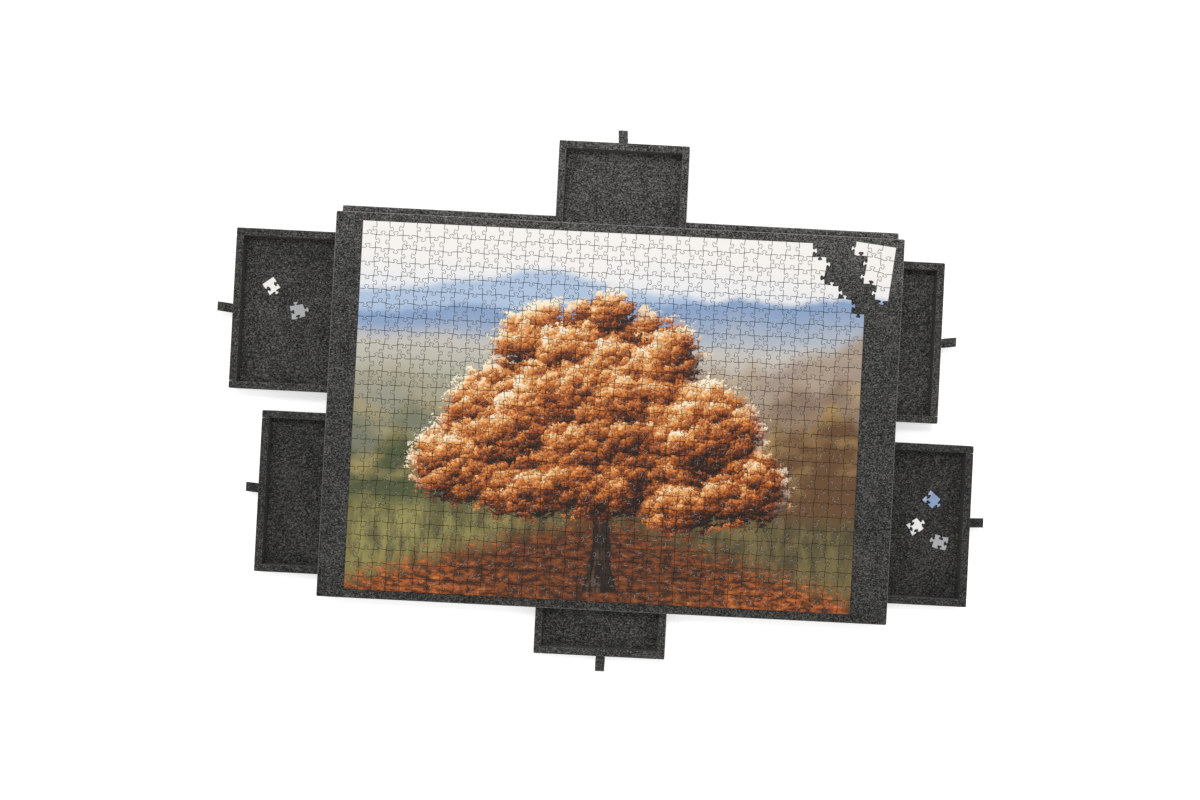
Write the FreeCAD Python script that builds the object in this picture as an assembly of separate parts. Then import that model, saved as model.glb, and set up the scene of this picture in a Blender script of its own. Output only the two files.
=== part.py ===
import FreeCAD, Part
import math
import os

# Jigsaw board with six felt-lined drawers, shown part way through a jigsaw.
# Millimetres. X runs along the board, Y towards its rear, Z up. The origin is on the
# underside of the base, below the centre of the work surface.

Vec = FreeCAD.Vector

# Casing
board_length = 772.0
board_width = 523.0
felt_thickness = 1.5
top_core_thickness = 12.0
base_core_thickness = 5.0
base_ledge = 14.0            # how far the base stands out behind the work surface
felt_corner_radius = 2.0     # upright corners of a felt cover
felt_edge_radius = 1.4       # soft edge where the felt turns down over a core
rail_width = 23.0
rail_recess = 3.0            # rails and dividers stand in from the edge of the work surface
rail_end_radius = 1.5
divider_width = 25.0
guide_thickness = 18.0
centre_stop_thickness = 20.0
housing_depth = 5.0          # stop and dividers are housed this deep in the guides
housing_gap = 0.1
divider_tongue = 10.0

# Drawers
centre_drawer_width = 179.0
wall_thickness = 10.0
wall_height = 24.5
wall_top_radius = 1.8
wall_end_radius = 1.6
butt_gap = 0.2               # front and back walls between the side walls
floor_thickness = 5.0
floor_lift = 1.0             # floor above the lower edges of the walls
floor_tongue = 4.0           # how deep the floor sits in the walls
groove_gap = 0.1
lining_gap = 0.3
side_gap = 1.5               # drawer to the rails beside it
glide_gap = 0.3              # drawer to the felt it runs on
headroom = 2.7               # drawer to the work surface above it
stop_gap = 0.5               # closed drawer to the guide or stop behind it

# Pull tabs, folded felt set in the front walls
tab_width = 12.0
tab_thickness = 2.6
tab_anchor = 6.0
tab_slot_gap = 0.1
tab_level = 12.0             # middle of the tab above the foot of the wall
tab_fold_radius = 1.0        # where the strip is folded back at its outer end

# Jigsaw
piece_pitch = 18.5
piece_columns = 37
piece_rows = 27
card_thickness = 2.0
kerf = 0.16                  # knife cut between two pieces
puzzle_left_of_centre = 6.75
puzzle_rear_of_centre = 0.25
corner_shift_right = 39.0    # how far the loose corner lies from its place in the jigsaw
corner_shift_front = 0.5
corner_turn = -6.0
grid_wander = 0.5            # how far the corners of the pieces stray from the grid
knob_wander = 0.8
neck_half_width = 1.15
neck_radius = 1.25
knob_corner_radius = 1.05
knob_end_radius = 6.0
neck_turn = math.radians(168)
knob_facet = math.radians(24)    # round stretches of a knob are short straight runs

# Heights, from the base up
base_top = base_core_thickness + felt_thickness
bay_height = glide_gap + wall_height + headroom
core_underside = base_top + bay_height
work_surface = core_underside + top_core_thickness + felt_thickness
drawer_foot = base_top + glide_gap
lining_top = floor_lift + floor_thickness + felt_thickness

# Plan, from the centre out
half_length = board_length / 2
half_width = board_width / 2
rail_outer = half_width - rail_recess
rail_inner = rail_outer - rail_width
side_drawer_width = rail_inner - divider_width / 2 - 2 * side_gap
side_drawer_centre = (rail_inner + divider_width / 2) / 2
guide_inner = centre_drawer_width / 2 + side_gap
guide_outer = guide_inner + guide_thickness
side_drawer_depth = half_length - guide_outer - stop_gap
centre_drawer_depth = half_width - centre_stop_thickness / 2 - stop_gap
rail_end = half_length - rail_recess

# Each drawer: where the middle of its closed front stands, which way it pulls, how far out it
# is at rest, how long its tab is and how far the tab strays to the drawer's left.
drawers = {
    "rear_left_drawer": dict(front=(-half_length, side_drawer_centre), turn=180,
                             width=side_drawer_width, depth=side_drawer_depth,
                             pulled=138.0, tab=24.5, tab_stray=0.8),
    "front_left_drawer": dict(front=(-half_length, -side_drawer_centre), turn=180,
                              width=side_drawer_width, depth=side_drawer_depth,
                              pulled=90.0, tab=20.0, tab_stray=-2.5),
    "rear_right_drawer": dict(front=(half_length, side_drawer_centre), turn=0,
                              width=side_drawer_width, depth=side_drawer_depth,
                              pulled=60.0, tab=23.5, tab_stray=0.0),
    "front_right_drawer": dict(front=(half_length, -side_drawer_centre), turn=0,
                               width=side_drawer_width, depth=side_drawer_depth,
                               pulled=111.0, tab=21.5, tab_stray=4.4),
    "back_drawer": dict(front=(0, half_width), turn=90,
                        width=centre_drawer_width, depth=centre_drawer_depth,
                        pulled=114.5, tab=20.0, tab_stray=1.8),
    "front_drawer": dict(front=(0, -half_width), turn=-90,
                         width=centre_drawer_width, depth=centre_drawer_depth,
                         pulled=64.5, tab=22.5, tab_stray=2.3),
}

# Jigsaw pieces, as (row, column) from the rear left corner
laid_columns = [33, 34, 34, 35, 36]           # in the first rows, the others are whole
corner_pieces = [(1, 35), (1, 36), (1, 37), (2, 36), (2, 37), (3, 36), (3, 37), (4, 37)]

# Pieces that lie in a drawer: how far behind its front face, how far to its left, how turned,
# and whether the picture is underneath
loose_pieces = {
    "rear_left_drawer": [
        dict(piece=(1, 34), behind=48.0, left=-33.3, turn=-143.0, face_down=False),
        dict(piece=(3, 35), behind=85.1, left=0.4, turn=-167.0, face_down=True)],
    "front_right_drawer": [
        dict(piece=(5, 37), behind=50.7, left=33.4, turn=51.0, face_down=False),
        dict(piece=(4, 36), behind=72.2, left=-5.3, turn=-55.0, face_down=False),
        dict(piece=(2, 35), behind=36.0, left=-24.4, turn=79.0, face_down=True)],
}

# The jigsaw's irregular cutting comes from waves over its rows and columns
corner_waves = dict(along=(5.1, 2.3), across=(1.7, 4.3))
right_knob_waves = dict(side=(6.9, 3.1, 0.1, 1.8), stray=(2.9, 5.3))
front_knob_waves = dict(side=(1.2, 6.7, 0.5, 2.0), stray=(4.7, 2.1))


def unit(vector):
    return vector / vector.Length


def rounded_face(corners):
    """Face of a polygon in the XY plane whose corners are (x, y, radius)."""
    edges = []
    ends = []
    for index, (x, y, radius) in enumerate(corners):
        here = Vec(x, y, 0)
        before = unit(Vec(*corners[index - 1][:2], 0) - here)
        after = unit(Vec(*corners[(index + 1) % len(corners)][:2], 0) - here)
        if radius == 0:
            ends.append((here, here))
            continue
        half_angle = before.getAngle(after) / 2
        reach = radius / math.tan(half_angle)
        start = here + before * reach
        finish = here + after * reach
        middle = here + unit(before + after) * (radius / math.sin(half_angle) - radius)
        edges.append(Part.Arc(start, middle, finish).toShape())
        ends.append((start, finish))
    for index, (start, _) in enumerate(ends):
        previous = ends[index - 1][1]
        if previous.distanceToPoint(start) > 1e-6:
            edges.append(Part.makeLine(previous, start))
    return Part.Face(Part.Wire(Part.__sortEdges__(edges)))


def rectangle_face(x0, x1, y0, y1, radii=(0, 0, 0, 0)):
    """Rectangle with a radius at each corner, anticlockwise from (x0, y0)."""
    plan = [(x0, y0), (x1, y0), (x1, y1), (x0, y1)]
    return rounded_face([(x, y, radius) for (x, y), radius in zip(plan, radii)])


def upright(face, z0, height):
    solid = face.extrude(Vec(0, 0, height))
    solid.translate(Vec(0, 0, z0))
    return solid


def box(x0, x1, y0, y1, z0, z1):
    return Part.makeBox(x1 - x0, y1 - y0, z1 - z0, Vec(x0, y0, z0))


# Casing

def core_slab(x0, x1, y0, y1, z0, thickness):
    """Board inside a felt cover whose outside is x0 to x1 and y0 to y1."""
    return box(x0 + felt_thickness, x1 - felt_thickness, y0 + felt_thickness, y1 - felt_thickness,
               z0, z0 + thickness)


def felt_cover(x0, x1, y0, y1, z0, core_thickness):
    """Felt over the top of a core and down its four edges."""
    radii = [felt_corner_radius] * 4
    whole = upright(rectangle_face(x0, x1, y0, y1, radii), z0, core_thickness + felt_thickness)
    top = z0 + core_thickness + felt_thickness
    rim = [edge for edge in whole.Edges if abs(edge.BoundBox.ZMin - top) < 1e-6]
    return whole.makeFillet(felt_edge_radius, rim).cut(core_slab(x0, x1, y0, y1, z0, core_thickness))


def make_rail(side, end):
    """Rail along the rear (end 1) or front (end -1) edge, left or right of the centre drawer."""
    x0, x1 = sorted((side * guide_inner, side * rail_end))
    y0, y1 = sorted((end * rail_inner, end * rail_outer))
    outer = {(-1, -1): 0, (1, -1): 1, (1, 1): 2, (-1, 1): 3}[(side, end)]
    radii = [rail_end_radius if corner == outer else 0 for corner in range(4)]
    return upright(rectangle_face(x0, x1, y0, y1, radii), base_top, bay_height)


def make_divider(side):
    """Between the two drawers of one side, tongued into the guide."""
    x0, x1 = sorted((side * guide_outer, side * rail_end))
    left_radius, right_radius = (rail_end_radius, 0) if side < 0 else (0, rail_end_radius)
    radii = (left_radius, right_radius, right_radius, left_radius)
    face = rectangle_face(x0, x1, -divider_width / 2, divider_width / 2, radii)
    t0, t1 = sorted((side * (guide_outer - housing_depth + housing_gap), side * guide_outer))
    tongue = box(t0, t1, -divider_tongue / 2, divider_tongue / 2, base_top, core_underside)
    return upright(face, base_top, bay_height).fuse(tongue).removeSplitter()


def make_guide(side):
    """Beside the centre drawers, housed for the stop and for the divider's tongue."""
    x0, x1 = sorted((side * guide_inner, side * guide_outer))
    guide = box(x0, x1, -rail_inner, rail_inner, base_top, core_underside)
    s0, s1 = sorted((side * guide_inner, side * (guide_inner + housing_depth)))
    stop_half = centre_stop_thickness / 2 + housing_gap
    stop_housing = box(s0, s1, -stop_half, stop_half, base_top, core_underside)
    d0, d1 = sorted((side * (guide_outer - housing_depth), side * guide_outer))
    tongue_half = divider_tongue / 2 + housing_gap
    divider_housing = box(d0, d1, -tongue_half, tongue_half, base_top, core_underside)
    return guide.cut([stop_housing, divider_housing])


def make_centre_stop():
    reach = guide_inner + housing_depth - housing_gap
    half = centre_stop_thickness / 2
    return box(-reach, reach, -half, half, base_top, core_underside)


def make_casing():
    top_plan = (-half_length, half_length, -half_width, half_width)
    base_plan = (-half_length, half_length, -half_width, half_width + base_ledge)
    nodes = {
        "top_board": [core_slab(*top_plan, core_underside, top_core_thickness)],
        "top_felt": [felt_cover(*top_plan, core_underside, top_core_thickness)],
        "base_board": [core_slab(*base_plan, 0, base_core_thickness)],
        "base_felt": [felt_cover(*base_plan, 0, base_core_thickness)],
        "centre_stop": [make_centre_stop()],
    }
    for side, side_name in ((-1, "left"), (1, "right")):
        nodes[side_name + "_divider"] = [make_divider(side)]
        nodes[side_name + "_guide"] = [make_guide(side)]
        for end, end_name in ((-1, "front"), (1, "rear")):
            nodes[f"{end_name}_{side_name}_rail"] = [make_rail(side, end)]
    return nodes


# Drawers are made closed with the front face on the YZ plane, pulling towards +X, and the
# lower edges of the walls at Z 0. Then each is turned and moved to its place.

def make_wall(length, radii):
    """Wall along X from 0 to length, with soft upper edges and ends rounded in plan."""
    section = rectangle_face(0, wall_thickness, 0, wall_height,
                             (0, 0, wall_top_radius, wall_top_radius))
    section.rotate(Vec(0, 0, 0), Vec(1, 0, 0), 90)
    section.rotate(Vec(0, 0, 0), Vec(0, 0, 1), 90)
    bar = section.extrude(Vec(length, 0, 0))
    plan = upright(rectangle_face(0, length, 0, wall_thickness, radii), 0, wall_height)
    return bar.common(plan)


def make_floor(width, depth, gap=0.0):
    """Floor board, or with a gap the groove round it."""
    reach = floor_tongue - groove_gap + gap
    return box(-depth + wall_thickness - reach, -wall_thickness + reach,
               -width / 2 + wall_thickness - reach, width / 2 - wall_thickness + reach,
               floor_lift, floor_lift + floor_thickness)


def make_lining(width, depth):
    edge = wall_thickness + lining_gap
    return box(-depth + edge, -edge, -width / 2 + edge, width / 2 - edge,
               floor_lift + floor_thickness, lining_top)


def make_side_wall(width, depth, side):
    radii = (0, 0, wall_end_radius, 0) if side > 0 else (0, wall_end_radius, 0, 0)
    wall = make_wall(depth, radii)
    wall.translate(Vec(-depth, width / 2 - wall_thickness if side > 0 else -width / 2, 0))
    return wall.cut(make_floor(width, depth, groove_gap))


def make_cross_wall(width, depth, front):
    """Front or back wall, standing between the side walls."""
    length = width - 2 * wall_thickness - 2 * butt_gap
    soft = wall_end_radius
    wall = make_wall(length, (soft, soft, 0, 0) if front else (0, 0, soft, soft))
    wall.rotate(Vec(0, 0, 0), Vec(0, 0, 1), 90)
    wall.translate(Vec(0 if front else -depth + wall_thickness, -length / 2, 0))
    return wall.cut(make_floor(width, depth, groove_gap))


def make_tab(length, stray):
    """Flat strip from its anchor in the wall out to its folded end."""
    side_view = rectangle_face(-tab_anchor, length, -tab_thickness / 2, tab_thickness / 2,
                               (0, tab_fold_radius, tab_fold_radius, 0))
    side_view.rotate(Vec(0, 0, 0), Vec(1, 0, 0), 90)
    strip = side_view.extrude(Vec(0, tab_width, 0))
    return strip.translated(Vec(0, stray - tab_width / 2, tab_level))


def make_tab_slot(stray):
    half = tab_width / 2 + tab_slot_gap
    rise = tab_thickness / 2 + tab_slot_gap
    return box(-tab_anchor - tab_slot_gap, wall_thickness, stray - half, stray + half,
               tab_level - rise, tab_level + rise)


def make_drawer(width, depth, tab, tab_stray):
    front_wall = make_cross_wall(width, depth, front=True).cut(make_tab_slot(tab_stray))
    return {
        "floor": make_floor(width, depth),
        "lining": make_lining(width, depth),
        "left_wall": make_side_wall(width, depth, 1),
        "right_wall": make_side_wall(width, depth, -1),
        "front_wall": front_wall,
        "back_wall": make_cross_wall(width, depth, front=False),
        "tab": make_tab(tab, tab_stray),
    }


def put_in_place(solid, spec):
    """Turn and move what was made on a closed drawer to where the pulled drawer stands."""
    direction = math.radians(spec["turn"])
    x = spec["front"][0] + spec["pulled"] * math.cos(direction)
    y = spec["front"][1] + spec["pulled"] * math.sin(direction)
    solid.rotate(Vec(0, 0, 0), Vec(0, 0, 1), spec["turn"])
    solid.translate(Vec(x, y, drawer_foot))
    return solid


def make_drawers():
    nodes = {}
    for name, spec in drawers.items():
        parts = make_drawer(spec["width"], spec["depth"], spec["tab"], spec["tab_stray"])
        for part_name, solid in parts.items():
            nodes[f"{name}_{part_name}"] = [put_in_place(solid, spec)]
    return nodes


# Jigsaw. Every cut between two pieces is one line: straight, a narrow neck, and a broad
# rounded knob. The pieces on its two sides take the same line, each half a kerf back.

def arc_points(centre, radius, start, finish):
    """Points along an arc with the way out from its centre, in steps of at most one facet."""
    steps = math.ceil(abs(finish - start) / knob_facet)
    points = []
    for step in range(steps + 1):
        angle = start + (finish - start) * step / steps
        outward = Vec(math.cos(angle), math.sin(angle), 0)
        points.append((centre + outward * radius, outward))
    return points


def half_knob_points():
    """The knob from the straight up to its crown, as (point, normal), about X 0."""
    upright_angle = math.pi / 2
    neck = Vec(-neck_half_width - neck_radius, neck_radius, 0)
    lean = neck_turn - upright_angle
    corner = neck + Vec(math.cos(lean), math.sin(lean), 0) * (neck_radius + knob_corner_radius)
    crown_drop = math.sqrt((knob_end_radius - knob_corner_radius) ** 2 - corner.x ** 2)
    crown = Vec(0, corner.y - crown_drop, 0)
    shoulder = math.atan2(crown_drop, corner.x)
    neck_side = arc_points(neck, neck_radius, -upright_angle, lean)
    corner_side = arc_points(corner, knob_corner_radius, lean + math.pi, shoulder)
    crown_side = arc_points(crown, knob_end_radius, shoulder, upright_angle)
    return [(point, -way) for point, way in neck_side] + corner_side[1:] + crown_side[1:]


def mirrored(points):
    """The other half of the knob, from the crown back to the straight."""
    return [(Vec(-p.x, p.y, 0), Vec(-n.x, n.y, 0)) for p, n in reversed(points[:-1])]


half_knob = half_knob_points()
whole_knob = half_knob + mirrored(half_knob)


def wave(numbers, row, column):
    return math.sin(numbers[0] * row + numbers[1] * column)


def knob_side(numbers, row, column):
    """1 or -1: which of its two sides the knob of a cut stands on."""
    by_row, by_column, by_both, phase = numbers
    return 1 if math.sin(by_row * row + by_column * column + by_both * row * column + phase) > 0 else -1


def grid_point(row, column):
    """Corner of the pieces, counted from the rear left corner of the puzzle."""
    x = (column - piece_columns / 2) * piece_pitch - puzzle_left_of_centre
    y = (piece_rows / 2 - row) * piece_pitch + puzzle_rear_of_centre
    if 0 < column < piece_columns:
        x += grid_wander * wave(corner_waves["along"], row, column)
    if 0 < row < piece_rows:
        y += grid_wander * wave(corner_waves["across"], row, column)
    return Vec(x, y, 0)


def cut_line(start, finish, side, stray):
    """One cut from start to finish, its knob on the left for side 1 and the right for -1."""
    along = unit(finish - start)
    left = Vec(-along.y, along.x, 0)
    middle = (start + finish) / 2 + along * stray
    line = [(start, left)]
    for point, normal in whole_knob:
        place = middle + along * point.x + left * (side * point.y)
        line.append((place, along * (side * normal.x) + left * normal.y))
    return line + [(finish, left)]


def right_cut(row, column):
    """Cut on the right of a piece, from rear to front. None on the puzzle's own edge."""
    start = grid_point(row - 1, column)
    finish = grid_point(row, column)
    if column == piece_columns or column == 0:
        return straight_edge(start, finish)
    side = knob_side(right_knob_waves["side"], row, column)
    return cut_line(start, finish, side, knob_wander * wave(right_knob_waves["stray"], row, column))


def front_cut(row, column):
    """Cut on the front of a piece, from left to right."""
    start = grid_point(row, column - 1)
    finish = grid_point(row, column)
    if row == piece_rows or row == 0:
        return straight_edge(start, finish)
    side = -knob_side(front_knob_waves["side"], row, column)
    return cut_line(start, finish, side, knob_wander * wave(front_knob_waves["stray"], row, column))


def straight_edge(start, finish):
    along = unit(finish - start)
    left = Vec(-along.y, along.x, 0)
    return [(start, left), (finish, left)]


def backwards(line):
    return [(point, -normal) for point, normal in reversed(line)]


def mitre(normal, other):
    """Where two set-in lines meet: their common normal, longer where they turn a corner."""
    return (normal + other) / (1 + normal.dot(other))


def card_solid(lines):
    """Card of the jigsaw inside a clockwise ring of cuts, half a kerf in from each."""
    outline = []
    for index, line in enumerate(lines):
        start, start_normal = line[0]
        before = lines[index - 1][-1][1]
        for point, normal in [(start, mitre(before, start_normal))] + line[1:-1]:
            outline.append(point - normal * kerf / 2)
    face = Part.Face(Part.makePolygon(outline + outline[:1]))
    return face.extrude(Vec(0, 0, card_thickness))


def make_piece(row, column):
    """One piece: its rear, right, front and left cuts in clockwise order."""
    return card_solid([front_cut(row - 1, column), right_cut(row, column),
                       backwards(front_cut(row, column)), backwards(right_cut(row, column - 1))])


def make_laid_part():
    """All the pieces that are joined already, as one sheet with its stepped free edge."""
    lines = [straight_edge(grid_point(0, 0), grid_point(0, laid_columns[0]))]
    for row, columns in enumerate(laid_columns, start=1):
        lines.append(right_cut(row, columns))
        following = laid_columns[row] if row < len(laid_columns) else piece_columns
        for column in range(columns + 1, following + 1):
            lines.append(front_cut(row, column))
    right_rear = grid_point(len(laid_columns), piece_columns)
    right_front = grid_point(piece_rows, piece_columns)
    left_front = grid_point(piece_rows, 0)
    lines.append(straight_edge(right_rear, right_front))
    lines.append(straight_edge(right_front, left_front))
    lines.append(straight_edge(left_front, grid_point(0, 0)))
    return card_solid(lines)


def laid_down(piece, about, turn, place, face_down=False):
    """One piece turned about a point of the plan, with that point moved to its place."""
    solid = make_piece(*piece)
    if face_down:
        solid.rotate(about + Vec(0, 0, card_thickness / 2), Vec(0, 1, 0), 180)
    solid.rotate(about, Vec(0, 0, 1), turn)
    solid.translate(place - about)
    return solid


def make_corner_part():
    """The joined pieces that lie apart, askew, beyond their place in the jigsaw."""
    rear_right = grid_point(0, piece_columns)
    place = rear_right + Vec(corner_shift_right, -corner_shift_front, work_surface)
    return [laid_down(piece, rear_right, corner_turn, place) for piece in corner_pieces]


def make_loose_pieces(drawer, pieces):
    solids = []
    for spec in pieces:
        row, column = spec["piece"]
        middle = (grid_point(row - 1, column - 1) + grid_point(row, column)) / 2
        place = Vec(-spec["behind"], spec["left"], lining_top)
        solid = laid_down(spec["piece"], middle, spec["turn"], place, spec["face_down"])
        solids.append(put_in_place(solid, drawers[drawer]))
    return solids


def make_jigsaw():
    laid = make_laid_part()
    laid.translate(Vec(0, 0, work_surface))
    nodes = {"jigsaw_laid_part": [laid], "jigsaw_corner_part": make_corner_part()}
    for drawer, pieces in loose_pieces.items():
        nodes[drawer + "_loose_pieces"] = make_loose_pieces(drawer, pieces)
    return nodes


def write_parts(nodes):
    os.makedirs("parts", exist_ok=True)
    for name, solids in nodes.items():
        shape = solids[0] if len(solids) == 1 else Part.makeCompound(solids)
        shape.exportStep(f"parts/{name}.step")
    print(len(nodes), "nodes,", sum(len(solids) for solids in nodes.values()), "solids")


write_parts({**make_casing(), **make_drawers(), **make_jigsaw()})
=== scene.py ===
import math
import bpy
import bmesh
from mathutils import Matrix, Vector, noise


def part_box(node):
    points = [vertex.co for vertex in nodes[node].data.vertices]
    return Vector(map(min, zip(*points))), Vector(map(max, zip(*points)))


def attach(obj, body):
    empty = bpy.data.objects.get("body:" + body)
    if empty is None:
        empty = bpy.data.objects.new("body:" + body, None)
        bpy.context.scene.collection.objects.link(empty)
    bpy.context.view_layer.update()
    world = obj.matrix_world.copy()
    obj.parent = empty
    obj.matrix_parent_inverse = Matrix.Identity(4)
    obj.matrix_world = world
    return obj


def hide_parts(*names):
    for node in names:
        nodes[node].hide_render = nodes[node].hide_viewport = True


# Jigsaw board with six felt-lined drawers and a jigsaw under way on it.

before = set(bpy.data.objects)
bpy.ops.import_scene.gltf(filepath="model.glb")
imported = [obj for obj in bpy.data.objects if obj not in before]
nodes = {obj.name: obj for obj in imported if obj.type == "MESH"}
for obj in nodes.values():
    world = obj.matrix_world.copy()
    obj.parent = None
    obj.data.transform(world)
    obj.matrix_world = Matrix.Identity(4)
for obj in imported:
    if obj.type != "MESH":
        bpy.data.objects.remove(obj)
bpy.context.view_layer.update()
mm = 0.001
hair = 0.01 * mm                              # places nearer than this are the same
up = Vector((0, 0, 1))
white = (1, 1, 1, 1)

pulls = {                                     # which way each drawer comes out
    "rear_left_drawer": Vector((-1, 0, 0)),
    "front_left_drawer": Vector((-1, 0, 0)),
    "rear_right_drawer": Vector((1, 0, 0)),
    "front_right_drawer": Vector((1, 0, 0)),
    "back_drawer": Vector((0, 1, 0)),
    "front_drawer": Vector((0, -1, 0)),
}


# Camera, light and floor. The lamp shines from the rear, from far off.

camera = dict(place=(-0.0161, 0.0019, 1.8975), target=(-0.0161, 0.0229, 0.0475),
              right=(0.9987, 0.0509, 0), lens=41.0, sensor=36, nearest=0.05, farthest=50)
light = dict(sky=0.72, backdrop=1.0, lamp=0.90, lampSoftness=14, lampFrom=(-0.12, 0.60, 1.5),
             floorSize=12, floorWhite=(0.9, 0.9, 0.9, 1), floorGlow=0.52)


def setCamera():
    place = Vector(camera["place"])
    forward = (Vector(camera["target"]) - place).normalized()
    right = Vector(camera["right"])
    right = (right - forward * right.dot(forward)).normalized()
    above = right.cross(forward)
    data = bpy.data.cameras.new("camera")
    data.lens = camera["lens"]
    data.sensor_width = camera["sensor"]
    data.clip_start = camera["nearest"]
    data.clip_end = camera["farthest"]
    seat = bpy.data.objects.new("camera", data)
    bpy.context.scene.collection.objects.link(seat)
    turn = Matrix((right, above, -forward)).transposed().to_4x4()
    seat.matrix_world = Matrix.Translation(place) @ turn
    bpy.context.scene.camera = seat


def srgb(red, green, blue):
    values = []
    for part in (red, green, blue):
        part = part / 255
        values.append(part / 12.92 if part <= 0.04045 else ((part + 0.055) / 1.055) ** 2.4)
    return (*values, 1)


class Value:
    # a socket that Python's operators work on
    def __init__(self, finish, socket):
        self.finish = finish
        self.socket = socket

    def maths(self, operation, *values, clamp=False):
        settings = dict(operation=operation, use_clamp=clamp)
        return self.finish.value("ShaderNodeMath", settings, dict(enumerate(values)))

    def __add__(self, other):
        return self.maths("ADD", self, other)

    def __sub__(self, other):
        return self.maths("SUBTRACT", self, other)

    def __rsub__(self, other):
        return self.maths("SUBTRACT", other, self)

    def __mul__(self, other):
        return self.maths("MULTIPLY", self, other)

    def __truediv__(self, other):
        return self.maths("DIVIDE", self, other)

    __radd__ = __add__
    __rmul__ = __mul__

    def most(self, other):
        return self.maths("MAXIMUM", self, other)

    def size(self):
        return self.maths("ABSOLUTE", self)

    def root(self):
        return self.maths("SQRT", self)

    def held(self):
        # kept between 0 and 1
        return self.maths("ADD", self, 0.0, clamp=True)

    def rise(self, low, high):
        # 0 below low and 1 above high, smooth in between
        settings = dict(interpolation_type="SMOOTHSTEP")
        sockets = {"Value": self, "From Min": low, "From Max": high}
        return self.finish.value("ShaderNodeMapRange", settings, sockets)


class Finish:
    # the nodes of a material or of the world, under construction
    def __init__(self, owner):
        self.owner = owner
        owner.use_nodes = True
        self.tree = owner.node_tree
        self.tree.nodes.clear()

    def feed(self, socket, given):
        if isinstance(given, Value):
            self.tree.links.new(given.socket, socket)
        else:
            socket.default_value = given

    def node(self, kind, settings=None, sockets=None):
        made = self.tree.nodes.new(kind)
        for name, setting in (settings or {}).items():
            if name == "stops":
                setStops(made.color_ramp, setting)
            else:
                setattr(made, name, setting)
        for name, given in (sockets or {}).items():
            self.feed(made.inputs[name], given)
        return made

    def value(self, kind, settings=None, sockets=None, output=0):
        return Value(self, self.node(kind, settings, sockets).outputs[output])

    def place(self):
        return self.value("ShaderNodeTexCoord", output="Object")

    def facing(self):
        return self.value("ShaderNodeNewGeometry", output="True Normal")

    def marked(self, name, output="Fac"):
        # an attribute of the mesh, 0 where it has none
        return self.value("ShaderNodeAttribute", dict(attribute_name=name), None, output)

    def parts(self, vector):
        split = self.node("ShaderNodeSeparateXYZ", None, {0: vector})
        return [Value(self, output) for output in split.outputs]

    def vector(self, x, y, z=0.0):
        return self.value("ShaderNodeCombineXYZ", None, {0: x, 1: y, 2: z})

    def mapped(self, vector, scale=(1, 1, 1), turn=(0, 0, 0), shift=(0, 0, 0)):
        sockets = {"Vector": vector, "Scale": scale, "Location": shift,
                   "Rotation": [math.radians(angle) for angle in turn]}
        return self.value("ShaderNodeMapping", None, sockets)

    def vectors(self, operation, *values):
        settings = dict(operation=operation)
        return self.value("ShaderNodeVectorMath", settings, dict(enumerate(values)))

    def scaled(self, colour, share):
        sockets = {0: colour, "Scale": share}
        return self.value("ShaderNodeVectorMath", dict(operation="SCALE"), sockets)

    def noise(self, vector, scale, detail=2.0, roughness=0.5, distortion=0.0, output=0):
        sockets = {"Vector": vector, "Scale": scale, "Detail": detail,
                   "Roughness": roughness, "Distortion": distortion}
        return self.value("ShaderNodeTexNoise", None, sockets, output)

    def mix(self, first, second, factor):
        made = self.node("ShaderNodeMix", dict(data_type="RGBA"))
        inputs = {socket.name: socket for socket in made.inputs if socket.enabled}
        for name, given in (("A", first), ("B", second), ("Factor", factor)):
            self.feed(inputs[name], given)
        return Value(self, [socket for socket in made.outputs if socket.enabled][0])

    def ramp(self, factor, *stops):
        return self.value("ShaderNodeValToRGB", dict(stops=stops), {"Fac": factor}, "Color")

    def bump(self, height, depth, strength=1.0):
        sockets = {"Height": height, "Distance": depth, "Strength": strength}
        return self.value("ShaderNodeBump", None, sockets)

    def close(self, **sockets):
        named = {name.replace("_", " "): given for name, given in sockets.items()}
        surface = self.value("ShaderNodeBsdfPrincipled", None, named)
        self.node("ShaderNodeOutputMaterial", None, {"Surface": surface})
        return self.owner


def newFinish(name):
    return Finish(bpy.data.materials.new(name))


def setStops(ramp, stops):
    for index, (position, colour) in enumerate(stops):
        stop = ramp.elements[index] if index < 2 else ramp.elements.new(position)
        stop.position = position
        stop.color = colour


def seenDirectly(finish):
    # 1 for rays that show the background itself
    path = finish.node("ShaderNodeLightPath")
    direct = Value(finish, path.outputs["Is Camera Ray"])
    mirrored = Value(finish, path.outputs["Is Glossy Ray"])
    through = Value(finish, path.outputs["Is Transmission Ray"])
    return direct.most(mirrored).most(through)


def setLight():
    world = bpy.data.worlds.new("surroundings")
    bpy.context.scene.world = world
    sky = Finish(world)
    lit = sky.value("ShaderNodeBackground", None, {"Color": white, "Strength": light["sky"]})
    shown = sky.value("ShaderNodeBackground", None, {"Color": white, "Strength": light["backdrop"]})
    both = sky.value("ShaderNodeMixShader", None, {0: seenDirectly(sky), 1: lit, 2: shown})
    sky.node("ShaderNodeOutputWorld", None, {"Surface": both})
    lamp = bpy.data.lights.new("lamp", "SUN")
    lamp.energy = light["lamp"]
    lamp.angle = math.radians(light["lampSoftness"])
    holder = bpy.data.objects.new("lamp", lamp)
    bpy.context.scene.collection.objects.link(holder)
    holder.rotation_euler = Vector(light["lampFrom"]).to_track_quat("Z", "Y").to_euler()


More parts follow.
